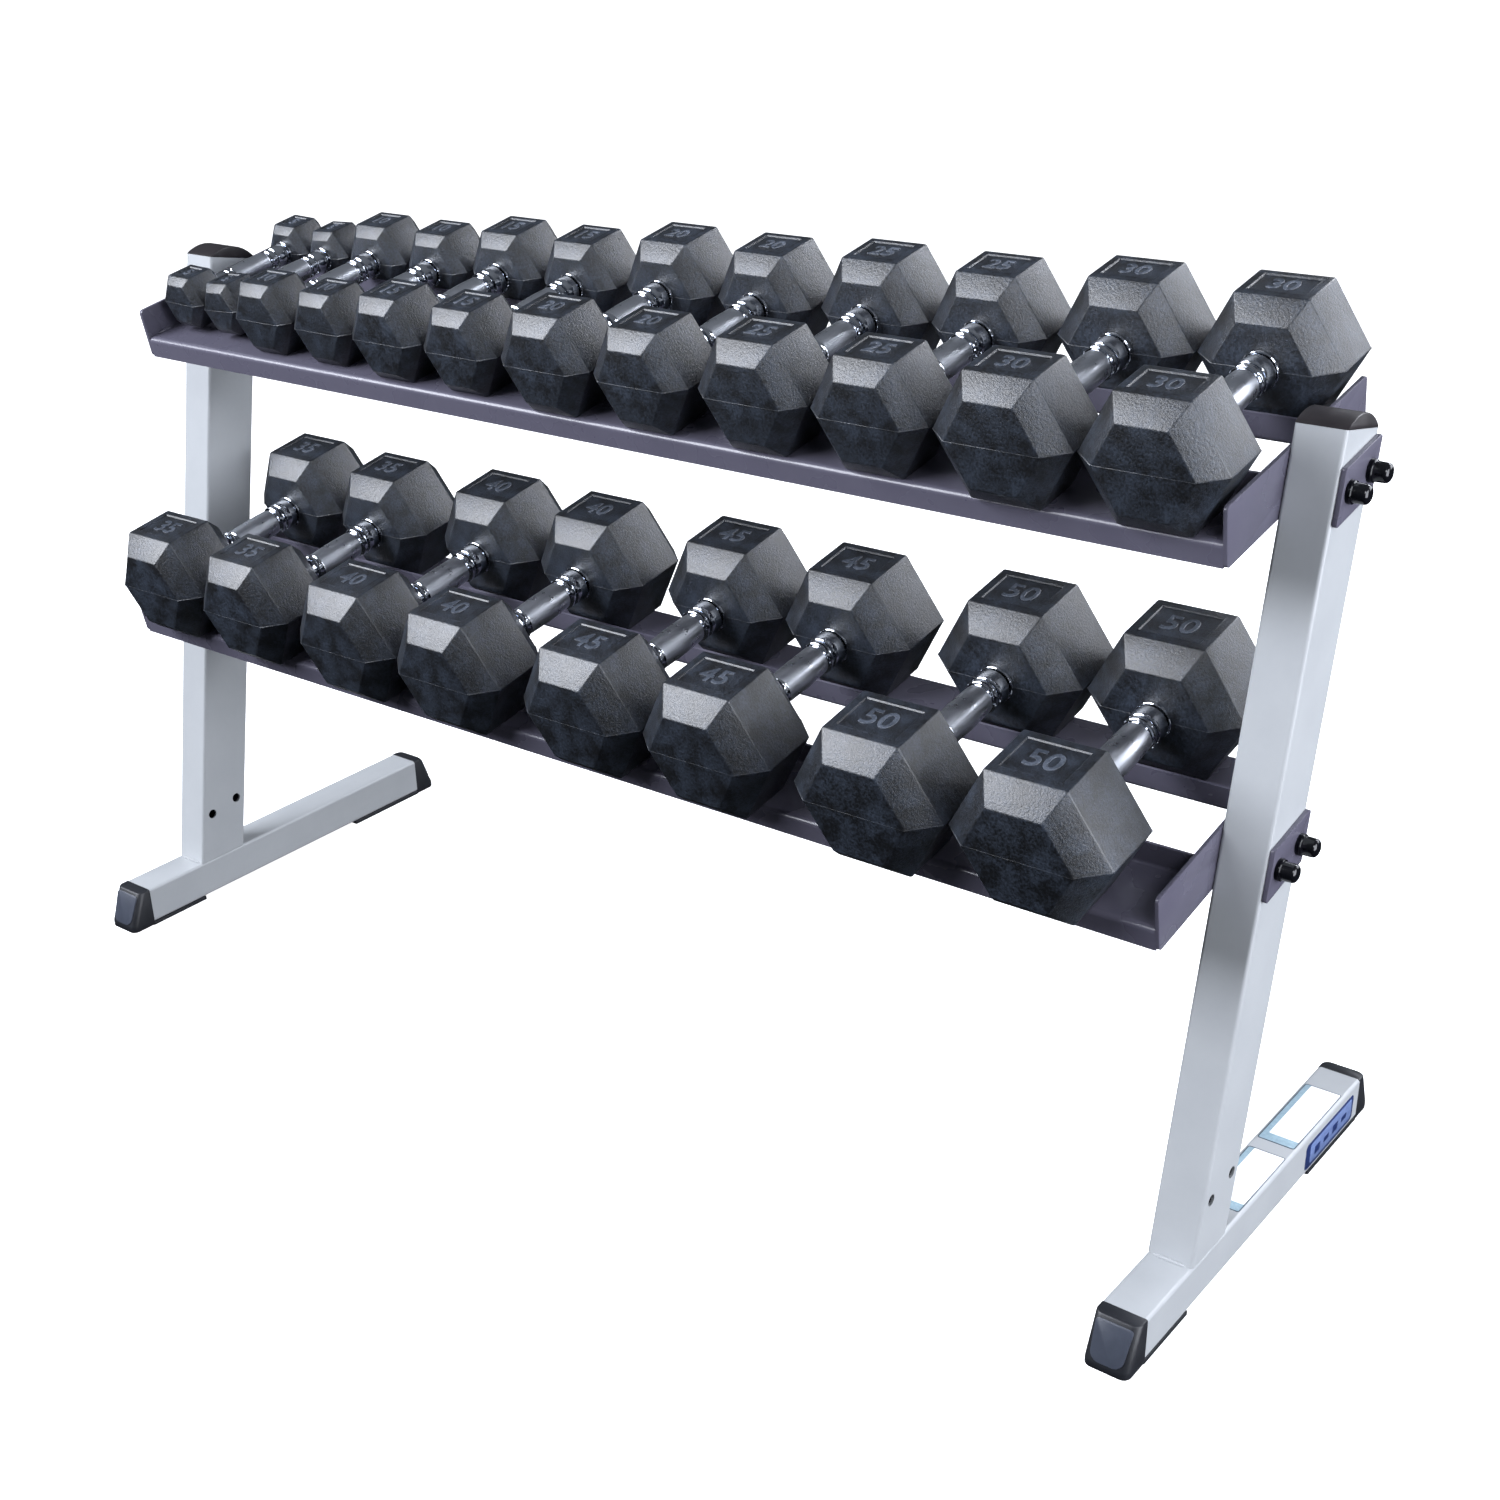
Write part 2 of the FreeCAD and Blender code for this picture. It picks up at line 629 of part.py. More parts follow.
def makeNutCap():
    """Domed plastic cap, hollow for the nut."""
    inner = "(Sizes.nutFlats / sqrt(3) + Sizes.boreGap)"
    return turnedPiece("nut_cap_shape", [
        (inner, "0"),
        ("Sizes.nutCapRadius", "0"),
        ("Sizes.nutCapRadius", "Sizes.nutCapHeight - Sizes.nutCapChamfer"),
        ("Sizes.nutCapRadius - Sizes.nutCapChamfer", "Sizes.nutCapHeight"),
        ("0", "Sizes.nutCapHeight"),
        ("0", "Sizes.nutCapHeight - Sizes.nutCapWall"),
        (inner, "Sizes.nutCapHeight - Sizes.nutCapWall"),
    ])


def drawHexagon(sketch, flats):
    """Hexagon with flat top and bottom, from its size across the flats."""
    corner = "%s / sqrt(3)" % flats
    half = "%s / 2" % flats
    drawOutline(sketch, [
        (corner, "0"),
        (corner + " / 2", half),
        ("-%s / 2" % corner, half),
        ("-" + corner, "0"),
        ("-%s / 2" % corner, "-" + half),
        (corner + " / 2", "-" + half),
    ])


def boltPlaces(reach):
    """Where the eight bolts stand, reach beyond the inner face of the end plates."""
    places = []
    inner = size("overallWidth") / 2 - size("tubeWidth") - size("endPlateSheet")
    for tier in ("upper", "lower"):
        for side in (-1, 1):
            outward = Rotation(zAxis, -90 * side)
            for sign in (-0.5, 0.5):
                offset = moved(0, sign * size("boltSpacing"), 0, outward)
                places.append(boltFrame(tier, side * (inner + reach)) * offset)
    return places


def makeShelves():
    nodes = []
    plateX = size("overallWidth") / 2 - size("tubeWidth") - size("endPlateSheet") / 2
    for tier in ("upper", "lower"):
        for place in ("front", "rear"):
            nodes.append(makeRail("%s_%s_rail" % (tier, place), tier, place))
        plate = makeEndPlate(tier + "_end_plate_shape", tier)
        places = [shelfFrame(tier, side * plateX) for side in (-1, 1)]
        nodes.append(gather(tier + "_end_plates", plate, places))
    clamp = makeClampPlate("clamp_plate_shape")
    clampX = (size("overallWidth") + size("clampSheet")) / 2
    places = [boltFrame(tier, side * clampX) for tier in ("upper", "lower") for side in (-1, 1)]
    nodes.append(gather("clamp_plates", clamp, places))
    reach = number(boltReach)
    nodes.append(gather("shelf_bolts", makeBolt(), boltPlaces(0)))
    nodes.append(gather("flange_nuts", makeNut(), boltPlaces(reach)))
    capReach = reach + size("nutFlangeHeight")
    nodes.append(gather("nut_caps", makeNutCap(), boltPlaces(capReach)))
    return nodes


# ---- dumbbells -------------------------------------------------------------

def makeHead(weight):
    """Chamfered hex head about its own middle; the bore opens at its local +Y face."""
    name = "head_%02d_shape" % weight
    body = newBody(name)
    sketch = newSketch(body, name + "_hexagon", "XZ_Plane")
    drawHexagon(sketch, "Sizes.flats_lb%02d" % weight)
    prism = addPad(body, sketch, name + "_prism", "Sizes.headLength_lb%02d" % weight)
    chamfer = body.newObject("PartDesign::Chamfer", name + "_chamfer")
    chamfer.Base = (prism, facesAcross(prism, yAxis))
    chamfer.setExpression("Size", "Sizes.chamfer_lb%02d" % weight)
    doc.recompute()
    before = body.Shape.Volume
    mouth = newSketch(body, name + "_mouth", "XZ_Plane")
    drawCircle(mouth, "0", "0", "Sizes.gripRadius_lb%02d" % weight)
    bore = body.newObject("PartDesign::Pocket", name + "_bore")
    bore.Profile = mouth
    bore.SideType = "One side"
    bore.setExpression("Length", "Sizes.headLength_lb%02d" % weight)
    doc.recompute()
    if body.Shape.Volume >= before:
        raise RuntimeError("the bore of %s cuts nothing" % name)
    return body


def makeHandle(weight):
    """Handle turned about local Y: ends in the bores, rings, collars and the grip."""
    tail = "_lb%02d" % weight
    face = "Sizes.gripGap%s / 2" % tail
    end = "Sizes.gripGap%s / 2 + Sizes.headLength%s / 2 - Sizes.boreFloor" % (tail, tail)
    spigot = "Sizes.gripRadius%s - Sizes.boreGap" % tail
    grip = "Sizes.gripRadius" + tail
    collar = "Sizes.collarRadius" + tail
    collarEnd = face + " - Sizes.ringWidth - Sizes.collarWidth"
    half = [
        ("0", end),
        (spigot, end),
        (spigot, face),
        (collar, face),
        (collar, face + " - Sizes.ringWidth"),
        ("(%s + %s) / 2" % (collar, grip), face + " - Sizes.ringWidth"),
        ("(%s + %s) / 2" % (collar, grip), collarEnd),
        (grip, collarEnd + " - Sizes.collarTaper"),
    ]
    mirrored = [(r, "-(%s)" % y) for r, y in half]
    return turnedPiece("handle_%02d_shape" % weight, mirrored + half[::-1])


def dumbbellFrame(tier, weight, x, innerFace, roll):
    """Middle of the handle, local Y from the front head to the rear head."""
    half = size("flats_lb%02d" % weight) / 2
    rest = size("railFloor") + size("restGap") + half
    overLip = size("lipTop") + size("restGap") + size("collarRadius_lb%02d" % weight)
    middle = innerFace - size("gripGap_lb%02d" % weight) / 2
    turned = Rotation(yAxis, -roll)
    return shelfFrame(tier, x) * moved(0, middle, max(rest, overLip), turned)


def makeDumbbells():
    nodes = []
    heads = {weight: makeHead(weight) for weight in dumbbellTable}
    handles = {weight: makeHandle(weight) for weight in dumbbellTable}
    for tier, places in dumbbellPlaces.items():
        for i, (weight, x, innerFace, roll) in enumerate(places, 1):
            name = "%s_dumbbell_%02d" % (tier, i)
            frame = dumbbellFrame(tier, weight, x, innerFace, roll)
            offset = (size("gripGap_lb%02d" % weight) + size("headLength_lb%02d" % weight)) / 2
            front = frame * moved(0, -offset, 0)
            rear = frame * moved(0, offset, 0, halfTurn)
            nodes.append(gather(name + "_heads", heads[weight], [front, rear]))
            nodes.append(gather(name + "_handle", handles[weight], [frame]))
    return nodes


# ---- check and export ------------------------------------------------------

def checkAndExport(nodes):
    doc.recompute()
    for item in doc.Objects:
        if "Invalid" in item.State or "Error" in item.State:
            raise RuntimeError("%s did not build: %s" % (item.Name, item.State))
    for node in nodes:
        if node.Shape.isNull() or not node.Shape.isValid() or not node.Shape.Solids:
            raise RuntimeError("%s is not a valid solid" % node.Label)
    os.makedirs("parts", exist_ok=True)
    for node in nodes:
        node.Shape.exportStep("parts/%s.step" % node.Label)
    print("%d nodes" % len(nodes))


fillSheet()
checkAndExport(makeFrame() + makeShelves() + makeDumbbells())
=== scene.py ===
import json
import math
import bmesh
import bpy
from mathutils import Matrix, Vector


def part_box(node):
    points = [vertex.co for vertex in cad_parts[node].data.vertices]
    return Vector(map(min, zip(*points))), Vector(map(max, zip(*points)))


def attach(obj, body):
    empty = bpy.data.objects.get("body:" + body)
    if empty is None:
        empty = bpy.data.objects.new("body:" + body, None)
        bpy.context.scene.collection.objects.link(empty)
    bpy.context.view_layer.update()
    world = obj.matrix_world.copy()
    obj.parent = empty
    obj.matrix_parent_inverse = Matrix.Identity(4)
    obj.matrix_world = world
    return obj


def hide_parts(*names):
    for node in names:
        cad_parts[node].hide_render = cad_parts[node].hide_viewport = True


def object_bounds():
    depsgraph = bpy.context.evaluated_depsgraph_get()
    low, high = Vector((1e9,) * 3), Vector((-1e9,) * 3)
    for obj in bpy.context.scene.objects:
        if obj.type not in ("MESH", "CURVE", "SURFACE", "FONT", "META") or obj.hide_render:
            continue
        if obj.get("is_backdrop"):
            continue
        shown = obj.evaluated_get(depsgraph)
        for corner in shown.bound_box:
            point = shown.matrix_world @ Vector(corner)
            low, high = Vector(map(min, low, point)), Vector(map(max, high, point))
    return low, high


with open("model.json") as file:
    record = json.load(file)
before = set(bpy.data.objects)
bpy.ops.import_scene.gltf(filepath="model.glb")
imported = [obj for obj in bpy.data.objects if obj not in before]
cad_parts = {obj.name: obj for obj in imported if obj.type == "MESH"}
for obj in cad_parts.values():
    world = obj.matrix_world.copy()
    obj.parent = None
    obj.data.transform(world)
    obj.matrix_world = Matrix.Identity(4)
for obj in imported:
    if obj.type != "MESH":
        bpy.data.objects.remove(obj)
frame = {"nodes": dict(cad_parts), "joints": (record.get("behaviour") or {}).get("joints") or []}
cadLow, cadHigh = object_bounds()
nodes = frame["nodes"]
scene = bpy.context.scene
print("frame loaded with", len(nodes), "CAD nodes")


def hexColor(text):
    parts = [int(text[i:i + 2], 16) / 255 for i in (0, 2, 4)]
    linear = [c / 12.92 if c <= 0.04045 else ((c + 0.055) / 1.055) ** 2.4 for c in parts]
    return (*linear, 1.0)


def addNode(tree, kind, settings=None, links=None):
    node = tree.nodes.new(kind)
    for name, value in (settings or {}).items():
        if isinstance(name, int) or name in node.inputs:
            node.inputs[name].default_value = value
        else:
            setattr(node, name, value)
    for name, socket in (links or {}).items():
        tree.links.new(socket, node.inputs[name])
    return node


def newMaterial(name, settings):
    material = bpy.data.materials.new(name)
    material.use_nodes = True
    shader = material.node_tree.nodes["Principled BSDF"]
    for socket, value in settings.items():
        shader.inputs[socket].default_value = value
    return material, material.node_tree, shader


def perMillimetre(size):
    return 1000 / size  # texture scale for a feature of that many mm, with coordinates in metres


powderCoat = {
    "silver": ("AFB2B4", "A6A9AC", 0.36),
    "charcoal": ("5F5D6A", "565462", 0.27),
    "peelSize": 6,  # mm, orange peel of a cured powder, five times the real spacing so that it shows
    "cloudSize": 60,  # mm, slow change in film thickness
    "peelDepth": 0.05,
    # near-black colour painted as shade inside a tube
    "tubeShadeColor": "0C0C0E",
    "tubeDepth": 0.1,  # how far the painted shade inside a tube looks for the object's own walls, in metres
}


def powderCoatedSteel(name, colors, paintedTubeShade):
    # baked polyester powder: satin, with faint orange peel and a film that is never quite even
    color, shade, roughness = colors
    material, tree, shader = newMaterial(name, {"Roughness": roughness, "IOR": 1.5})
    place = addNode(tree, "ShaderNodeTexCoord")
    cloud = addNode(tree, "ShaderNodeTexNoise",
                    {"Scale": perMillimetre(powderCoat["cloudSize"]), "Detail": 3},
                    {"Vector": place.outputs["Object"]})
    speck = addNode(tree, "ShaderNodeTexNoise",
                    {"Scale": perMillimetre(powderCoat["peelSize"]), "Detail": 0},
                    {"Vector": place.outputs["Object"]})
    both = addNode(tree, "ShaderNodeMath", {"operation": "MULTIPLY_ADD", 1: 0.15},
                   {0: speck.outputs["Fac"], 2: cloud.outputs["Fac"]})
    ramp = addNode(tree, "ShaderNodeMapRange", {"From Min": 0.3, "From Max": 1.1},
                   {"Value": both.outputs[0]})
    mix = addNode(tree, "ShaderNodeMix", {"data_type": "RGBA", 6: hexColor(shade), 7: hexColor(color)},
                  {0: ramp.outputs["Result"]})
    gloss = addNode(tree, "ShaderNodeMapRange",
                    {"To Min": roughness - 0.02, "To Max": roughness + 0.03},
                    {"Value": cloud.outputs["Fac"]})
    bump = addNode(tree, "ShaderNodeBump", {"Strength": powderCoat["peelDepth"], "Distance": 0.0003},
                   {"Height": speck.outputs["Fac"]})
    coat = mix.outputs[2]
    if paintedTubeShade:  # painted shade: an ambient-occlusion mask darkens the inside of a tube and the part's own hollows to nearly black
        depth = addNode(tree, "ShaderNodeAmbientOcclusion",
                        {"samples": 4, "only_local": True, "Distance": powderCoat["tubeDepth"]})
        reach = addNode(tree, "ShaderNodeMapRange", {"From Min": 0.25, "From Max": 0.6},
                        {"Value": depth.outputs["AO"]})
        tube = addNode(tree, "ShaderNodeMix", {"data_type": "RGBA", 6: hexColor(powderCoat["tubeShadeColor"])},
                       {0: reach.outputs["Result"], 7: coat})
        coat = tube.outputs[2]
    tree.links.new(coat, shader.inputs["Base Color"])
    tree.links.new(gloss.outputs["Result"], shader.inputs["Roughness"])
    tree.links.new(bump.outputs["Normal"], shader.inputs["Normal"])
    return material


rubber = {
    "body": ("07090D", "2F3641", 0.38),
    "number": ("363C46", "626975", 0.3),  # raised figures, painted lighter as a highlight on the same rubber
    "grainSize": 2.6,  # mm, sandy texture of the mould, drawn three times too coarse so that it shows
    "cloudSize": 26,  # mm, dusty patches from handling
    "grainDepth": 0.7,
}


def mouldedRubber(name, colors):
    # vulcanised rubber over cast iron: near black, sandy, with a broad sheen that greys where light grazes it
    deep, dusty, roughness = colors
    material, tree, shader = newMaterial(name, {"Roughness": roughness, "IOR": 1.52,
                                                "Specular IOR Level": 0.8})
    place = addNode(tree, "ShaderNodeTexCoord")
    grain = addNode(tree, "ShaderNodeTexNoise",
                    {"Scale": perMillimetre(rubber["grainSize"]), "Detail": 4, "Roughness": 0.7},
                    {"Vector": place.outputs["Object"]})
    cloud = addNode(tree, "ShaderNodeTexNoise",
                    {"Scale": perMillimetre(rubber["cloudSize"]), "Detail": 5, "Roughness": 0.62},
                    {"Vector": place.outputs["Object"]})
    dust = addNode(tree, "ShaderNodeMath", {"operation": "MULTIPLY"},
                   {0: grain.outputs["Fac"], 1: cloud.outputs["Fac"]})
    amount = addNode(tree, "ShaderNodeMapRange", {"From Min": 0.18, "From Max": 0.38},
                     {"Value": dust.outputs[0]})
    mix = addNode(tree, "ShaderNodeMix",
                  {"data_type": "RGBA", 6: hexColor(deep), 7: hexColor(dusty)},
                  {0: amount.outputs["Result"]})
    gloss = addNode(tree, "ShaderNodeMapRange",
                    {"To Min": roughness - 0.1, "To Max": roughness + 0.14},
                    {"Value": grain.outputs["Fac"]})
    bump = addNode(tree, "ShaderNodeBump", {"Strength": rubber["grainDepth"], "Distance": 0.0008},
                   {"Height": grain.outputs["Fac"]})
    tree.links.new(mix.outputs[2], shader.inputs["Base Color"])
    tree.links.new(gloss.outputs["Result"], shader.inputs["Roughness"])
    tree.links.new(bump.outputs["Normal"], shader.inputs["Normal"])
    return material


plating = {
    "polished": ("E2E5EA", "C2C7D0", 0.08),
    "knurled": ("DEE1E7", "C8CCD4", 0.31),
    "blackZinc": ("2A2C31", "1A1B1F", 0.34),
    "smearSize": 14,  # mm, finger marks
}


def platedSteel(name, colors):
    # plating on steel: mirror bright where polished, with thin finger marks that dull it in patches
    bright, film, roughness = colors
    material, tree, shader = newMaterial(name, {"Metallic": 1.0, "Roughness": roughness})
    place = addNode(tree, "ShaderNodeTexCoord")
    smear = addNode(tree, "ShaderNodeTexNoise",
                    {"Scale": perMillimetre(plating["smearSize"]), "Detail": 6, "Roughness": 0.6},
                    {"Vector": place.outputs["Object"]})
    mix = addNode(tree, "ShaderNodeMix", {"data_type": "RGBA", 6: hexColor(bright), 7: hexColor(film)},
                  {0: smear.outputs["Fac"]})
    gloss = addNode(tree, "ShaderNodeMapRange",
                    {"From Min": 0.35, "From Max": 0.7,
                     "To Min": roughness * 0.85, "To Max": roughness * 1.3},
                    {"Value": smear.outputs["Fac"]})
    tree.links.new(mix.outputs[2], shader.inputs["Base Color"])
    tree.links.new(gloss.outputs["Result"], shader.inputs["Roughness"])
    return material


plastic = {
    "cap": ("17181C", "24262B", 0.42, 0.15),  # dark, light, roughness, depth of the texture
    # the panel's lighter grey is a painted reflection; the panel is the same plastic as the cap
    "capPanel": ("363A44", "464B57", 0.36, 0.1),
    "cover": ("08080A", "101116", 0.12, 0.02),
    "archCap": ("1D1A1C", "2C282A", 0.36, 0.1),
    "texture": 1.4,  # mm, spark-eroded mould texture, coarsened to show
    "scuff": 18,  # mm, scuffed patches
}


def mouldedPlastic(name, colors):
    # injection-moulded polypropylene: fine spark texture, slightly greyed where it is scuffed
    dark, light, roughness, depth = colors
    material, tree, shader = newMaterial(name, {"Roughness": roughness, "IOR": 1.49})
    place = addNode(tree, "ShaderNodeTexCoord")
    spark = addNode(tree, "ShaderNodeTexNoise",
                    {"Scale": perMillimetre(plastic["texture"]), "Detail": 3},
                    {"Vector": place.outputs["Object"]})
    scuff = addNode(tree, "ShaderNodeTexNoise",
                    {"Scale": perMillimetre(plastic["scuff"]), "Detail": 6, "Roughness": 0.7},
                    {"Vector": place.outputs["Object"]})
    mix = addNode(tree, "ShaderNodeMix", {"data_type": "RGBA", 6: hexColor(dark), 7: hexColor(light)},
                  {0: scuff.outputs["Fac"]})
    gloss = addNode(tree, "ShaderNodeMapRange", {"To Min": roughness * 0.8, "To Max": roughness * 1.3},
                    {"Value": scuff.outputs["Fac"]})
    bump = addNode(tree, "ShaderNodeBump", {"Strength": depth, "Distance": 0.0003},
                   {"Height": spark.outputs["Fac"]})
    tree.links.new(mix.outputs[2], shader.inputs["Base Color"])
    tree.links.new(gloss.outputs["Result"], shader.inputs["Roughness"])
    tree.links.new(bump.outputs["Normal"], shader.inputs["Normal"])
    return material


vinyl = {
    "paper": ("F4F5F8", "FFFFFF"),
    "band": ("6F8794", "A9C0CC"),
    "edge": ("2E3A44", "4A5864"),
    "navy": ("1F2B55", "2C3B6C"),
    "sky": ("44568E", "8EA2CC"),
    "roughness": 0.32,
    "mottle": 5,  # mm, unevenness of the ink
}


def printedVinyl(name, colors):
    # screen-printed vinyl film: even colour with a faint ink mottle and a soft gloss
    material, tree, shader = newMaterial(name, {"Roughness": vinyl["roughness"], "IOR": 1.46})
    place = addNode(tree, "ShaderNodeTexCoord")
    mottle = addNode(tree, "ShaderNodeTexNoise",
                     {"Scale": perMillimetre(vinyl["mottle"]), "Detail": 5, "Roughness": 0.7},
                     {"Vector": place.outputs["Object"]})
    mix = addNode(tree, "ShaderNodeMix",
                  {"data_type": "RGBA", 6: hexColor(colors[0]), 7: hexColor(colors[1])},
                  {0: mottle.outputs["Fac"]})
    bump = addNode(tree, "ShaderNodeBump", {"Strength": 0.03, "Distance": 0.0002},
                   {"Height": mottle.outputs["Fac"]})
    tree.links.new(mix.outputs[2], shader.inputs["Base Color"])
    tree.links.new(bump.outputs["Normal"], shader.inputs["Normal"])
    return material


# True paints shade inside the silver tubes and holes
silverPowder = powderCoatedSteel("silverPowderCoat", powderCoat["silver"], True)
charcoalPowder = powderCoatedSteel("charcoalPowderCoat", powderCoat["charcoal"], False)
headRubber = mouldedRubber("mouldedRubber", rubber["body"])
# the lighter rubber of the numbers is a painted highlight
numberHighlightRubber = mouldedRubber("highlightedRubberNumbers", rubber["number"])
chromeCollar = platedSteel("polishedChrome", plating["polished"])
chromeKnurl = platedSteel("knurledChrome", plating["knurled"])
capPlastic = mouldedPlastic("footCapPlastic", plastic["cap"])
capPanelReflectionPlastic = mouldedPlastic("capPanelReflectionPlastic", plastic["capPanel"])
archPlastic = mouldedPlastic("archCapPlastic", plastic["archCap"])
coverPlastic = mouldedPlastic("nutCoverPlastic", plastic["cover"])
blackZinc = platedSteel("blackZincSteel", plating["blackZinc"])
labelInk = [printedVinyl("label_" + key, vinyl[key]) for key in ("edge", "paper", "band", "navy", "sky")]
print("finishes made")


def makePiece(mesh, name, body, materials, place=None, angle=32):
    for material in materials:
        mesh.materials.append(material)
    piece = bpy.data.objects.new(name, mesh)
    scene.collection.objects.link(piece)
    piece.matrix_world = place or Matrix.Identity(4)
    mesh.shade_smooth()
    mesh.set_sharp_from_angle(angle=math.radians(angle))
    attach(piece, body)
    return piece


def meshOf(bm, name):
    mesh = bpy.data.meshes.new(name)
    bmesh.ops.recalc_face_normals(bm, faces=bm.faces)
    bm.to_mesh(mesh)
    bm.free()
    return mesh


def addRings(bm, rings, material=0):
    # skins a list of point rings and closes both ends
    loops = [[bm.verts.new(p) for p in ring] for ring in rings]
    count = len(loops[0])
    for a, b in zip(loops, loops[1:]):
        for i in range(count):
            face = bm.faces.new((a[i], a[(i + 1) % count], b[(i + 1) % count], b[i]))
            face.material_index = material
    bm.faces.new(loops[0][::-1]).material_index = material
    bm.faces.new(loops[-1]).material_index = material


def roundedOutline(corners, radii, steps=5):
    # polygon with an arc at each corner
    points = []
    count = len(corners)
    for i, corner in enumerate(corners):
        here = Vector(corner)
        before = (Vector(corners[i - 1]) - here).normalized()
        after = (Vector(corners[(i + 1) % count]) - here).normalized()
        radius = radii[i] if isinstance(radii, (list, tuple)) else radii
        half = before.angle(after) / 2
        centre = here + (before + after).normalized() * (radius / math.sin(half))
        start = here + before * (radius / math.tan(half)) - centre
        end = here + after * (radius / math.tan(half)) - centre
        for k in range(steps + 1):
            blend = start.lerp(end, k / steps).normalized() * radius
            points.append(centre + blend)
    return points


def addPlate(bm, outline, low, high, rounding, material=0, lift=None):
    # flat plate between two heights with a rounded upper edge; lift places it
    middle = sum(outline, Vector((0, 0))) / len(outline)
    rings = []
    third = rounding * 0.3
    for inset, height in ((0, low), (0, high - rounding), (third, high - third), (rounding, high)):
        ring = []
        for p in outline:
            away = p - middle
            pulled = middle + away * (1 - inset / max(away.length, 1e-6))
            point = Vector((pulled.x, pulled.y, height))
            ring.append(lift @ point if lift else point)
        rings.append(ring)
    addRings(bm, rings, material=material)


def solidsOf(name):
    # the separate solids of one CAD node, as lists of points
    bm = bmesh.new()
    bm.from_mesh(nodes[name].data)
    bmesh.ops.remove_doubles(bm, verts=bm.verts, dist=1e-5)
    seen, solids = set(), []
    for first in bm.verts:
        if first in seen:
            continue
        seen.add(first)
        waiting, points = [first], []
        while waiting:
            vert = waiting.pop()
            points.append(vert.co.copy())
            for edge in vert.link_edges:
                other = edge.other_vert(vert)
                if other not in seen:
                    seen.add(other)
                    waiting.append(other)
        solids.append(points)
    bm.free()
    return solids


def boxOf(points):
    low = Vector([min(p[i] for p in points) for i in range(3)])
    high = Vector([max(p[i] for p in points) for i in range(3)])
    return low, high


def roundedCopy(name, rounding, materials, sharp=38):
    # the CAD node's own shape with its sharp edges broken, as after deburring and coating
    bm = bmesh.new()
    source = nodes[name].data
    verts = [bm.verts.new(v.co) for v in source.vertices]
    for polygon in source.polygons:
        bm.faces.new([verts[i] for i in polygon.vertices])
    bmesh.ops.remove_doubles(bm, verts=bm.verts, dist=1e-5)
    bmesh.ops.dissolve_limit(bm, angle_limit=math.radians(1), verts=bm.verts, edges=bm.edges)
    edges = [e for e in bm.edges if len(e.link_faces) == 2 and e.calc_face_angle(0) > math.radians(sharp)]
    bmesh.ops.bevel(bm, geom=edges, offset=rounding, segments=2, profile=0.5, affect="EDGES",
                    clamp_overlap=True)
    piece = makePiece(meshOf(bm, name + "_finished"), name + "_finished", "rack", materials)
    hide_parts(name)


steelwork = {
    "silver": ("left_foot", "left_upright", "right_foot", "right_upright"),
    "charcoal": ("upper_front_rail", "upper_rear_rail", "lower_front_rail", "lower_rear_rail"),
    "zinc": ("shelf_bolts", "flange_nuts"),
    "plateRounding": 0.0008,
    "capRounding": 0.0012,
}
for coat, finish in (("silver", silverPowder), ("charcoal", charcoalPowder), ("zinc", blackZinc)):
    for name in steelwork[coat]:
        nodes[name].data.materials.clear()
        nodes[name].data.materials.append(finish)
for name in ("upper_end_plates", "lower_end_plates", "clamp_plates"):
    roundedCopy(name, steelwork["plateRounding"], [charcoalPowder])
roundedCopy("upright_caps", steelwork["capRounding"], [archPlastic])
print("steelwork finished")


weld = {
    "radius": 0.0028,
    "ripple": 0.0022,  # spacing of the ripples
    "depth": 0.0006,
    "sides": 10,
    "footReach": 0.019,  # half length of a bead across the foot
    "railRise": 0.025,  # height of a rail's bead above its lowest edge
    "railStart": 0.016,  # where it starts and ends, from the rail's outer edge
    "railEnd": 0.040,
}


def addBead(bm, start, end, radius):
    start, end = Vector(start), Vector(end)
    along = (end - start).normalized()
    side = along.orthogonal().normalized()
    up = along.cross(side)
    length = (end - start).length
    count = max(6, int(length / weld["ripple"] * 4))
    rings = []
    for i in range(count + 1):
        t = i / count
        taper = math.sin(math.pi * min(1, max(0.02, min(t, 1 - t) * length / (radius * 2.5)) ) / 2)
        wave = abs(math.sin(t * length / weld["ripple"] * math.pi))
        r = max(0.0002, (radius - weld["depth"] * (1 - wave)) * taper)
        middle = start.lerp(end, t)
        rings.append([middle + (side * math.cos(a) + up * math.sin(a)) * r
                      for a in (2 * math.pi * k / weld["sides"] for k in range(weld["sides"]))])
    addRings(bm, rings)


beads = bmesh.new()
for side in ("left", "right"):
    low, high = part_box(side + "_upright")
    middleX = (low.x + high.x) / 2
    bottom = [v.co for v in nodes[side + "_upright"].data.vertices if v.co.z < low.z + 0.001]
    for y in (min(p.y for p in bottom), max(p.y for p in bottom)):
        addBead(beads, (middleX - weld["footReach"], y, low.z + 0.0005),
                (middleX + weld["footReach"], y, low.z + 0.0005), weld["radius"])
makePiece(meshOf(beads, "foot_weld_beads"), "foot_weld_beads", "rack", [silverPowder],
          angle=60)

shelfUp = Vector(frame["joints"][0]["axis"]).normalized()
shelfBack = shelfUp.cross(Vector((1, 0, 0)))
beads = bmesh.new()
for tier in ("upper", "lower"):
    for rail in ("front", "rear"):
        points = [v.co for v in nodes["%s_%s_rail" % (tier, rail)].data.vertices]
        endX = max(p.x for p in points)
        depths = [p.dot(shelfBack) for p in points]
        rises = [p.dot(shelfUp) for p in points]
        rise = min(rises) + weld["railRise"]
        outer, inward = (min(depths), 1) if rail == "front" else (max(depths), -1)
        for side in (-1, 1):
            edge = shelfUp * rise + Vector((side * (endX - 0.0006), 0, 0))
            addBead(beads, edge + shelfBack * (outer + inward * weld["railStart"]),
                    edge + shelfBack * (outer + inward * weld["railEnd"]), weld["radius"])
makePiece(meshOf(beads, "shelf_weld_beads"), "shelf_weld_beads", "rack",
          [charcoalPowder], angle=60)
print("weld beads made")


